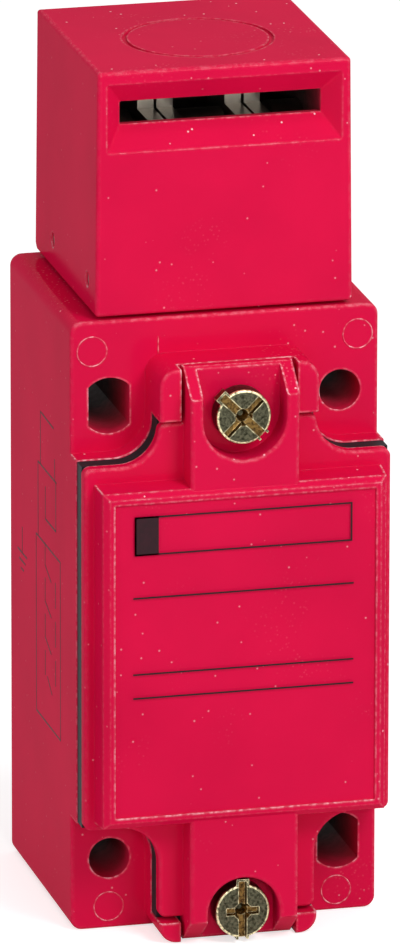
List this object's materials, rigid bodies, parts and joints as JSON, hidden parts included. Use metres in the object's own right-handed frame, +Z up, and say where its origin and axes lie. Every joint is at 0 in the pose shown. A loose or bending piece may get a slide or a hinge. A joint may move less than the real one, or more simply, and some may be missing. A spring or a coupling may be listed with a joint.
{
  "type": "tongue interlock switch",
  "caption": "Tongue interlock switch: red die-cast case with a gasketed cover on a screwed joint, a turret head with a key slot, a notched cam, a plunger and a positive-break contact block.",
  "frame": {"origin": "centre of the four fixing holes, in the plane of the back face that is bolted to the machine", "axes": "+Z up towards the turret head, +Y out of the back face into the machine, -Y towards the cover and the key slot, +X to the right seen from the front"},
  "size_m": [0.04, 0.044, 0.1127],
  "materials": {
    "red_casting": "gloss powder coat on zinc die casting",
    "zinc_plate": "yellow passivated zinc plating on steel",
    "bright_steel": "ground steel",
    "dark_steel": "hardened sintered steel",
    "black_rubber": "moulded nitrile",
    "grey_plastic": "moulded phenolic",
    "white_plastic": "moulded acetal",
    "contact_brass": "rolled brass strip"
  },
  "bodies": {
    "root": {"case": "red_casting", "plunger_seal": "black_rubber", "turret_ring": "black_rubber", "earth_clamp": "zinc_plate", "earth_screw": "zinc_plate", "contact_block": "grey_plastic", "fixed_contacts": "contact_brass", "terminal_clamps": "zinc_plate", "terminal_screws": "zinc_plate", "block_screws": "zinc_plate", "carrier_spring": "bright_steel"},
    "head": {"turret_head": "red_casting", "cam_cradle": "dark_steel", "cross_pins": "bright_steel", "cam_axle": "bright_steel", "plunger_spring": "bright_steel"},
    "cam": {"cam_hub": "dark_steel", "cam_discs": "dark_steel"},
    "plunger": {"plunger": "bright_steel"},
    "carrier": {"contact_carrier": "white_plastic", "bridge_contacts": "contact_brass"},
    "cover": {"cover": "red_casting", "cover_gasket": "black_rubber", "cover_screws": "zinc_plate", "seal_washers": "black_rubber"}
  },
  "joints": [
    {"name": "head_turn", "type": "hinge", "parent": "root", "child": "head", "pos_m": [0, -0.0187, 0.045], "axis": [0, 0, 1], "range_deg": [-180, 180]},
    {"name": "cam_turn", "type": "hinge", "parent": "head", "child": "cam", "pos_m": [0, -0.0187, 0.0595], "axis": [-1, 0, 0], "range_deg": [0, 60]},
    {"name": "plunger_slide", "type": "slide", "parent": "head", "child": "plunger", "axis": [0, 0, 1], "range_m": [0, 0.0036], "deforming": ["plunger_spring"]},
    {"name": "carrier_slide", "type": "slide", "parent": "root", "child": "carrier", "axis": [0, 0, 1], "range_m": [0, 0.0036], "deforming": ["carrier_spring"]},
    {"name": "cover_lift_off", "type": "slide", "parent": "root", "child": "cover", "axis": [0, -1, 0], "range_m": [0, 0.06]}
  ],
  "couplings": [
    {"joint": "plunger_slide", "follows": "cam_turn", "m_per_rad": 0.0034},
    {"joint": "carrier_slide", "follows": "cam_turn", "m_per_rad": 0.0034}
  ]
}
